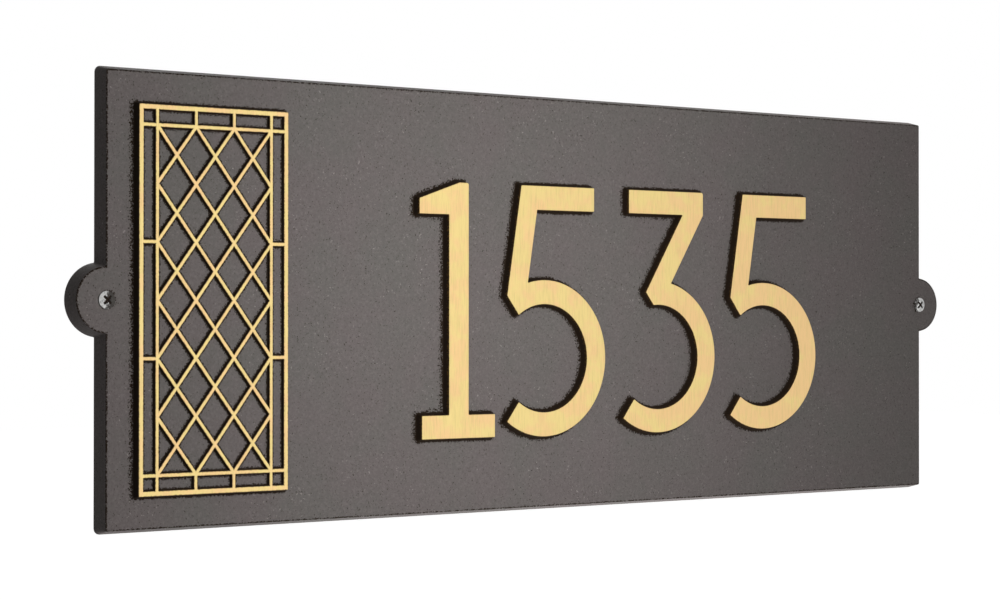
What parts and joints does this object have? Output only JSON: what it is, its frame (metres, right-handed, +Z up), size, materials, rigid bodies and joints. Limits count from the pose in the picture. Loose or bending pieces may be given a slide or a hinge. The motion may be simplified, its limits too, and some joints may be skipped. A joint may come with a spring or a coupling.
{
  "type": "house number plaque",
  "caption": "Cast metal house number plaque with raised numerals and a raised leaded-light panel, held to a wall by a screw through an ear at each end.",
  "frame": {"origin": "centre of the flat back, which lies against the wall", "axes": "+X runs to the viewer's right along the plaque, +Z is up and +Y points out of the back into the wall, so the front faces -Y"},
  "size_m": [0.4964, 0.0352, 0.1884],
  "materials": {
    "casting": "dark bronze textured paint on cast aluminium, with satin gold on the faces of the numerals and the panel",
    "screws": "bright zinc-plated steel"
  },
  "bodies": {
    "root": {"plaque_casting": "casting", "wall_screws": "screws"}
  },
  "joints": []
}
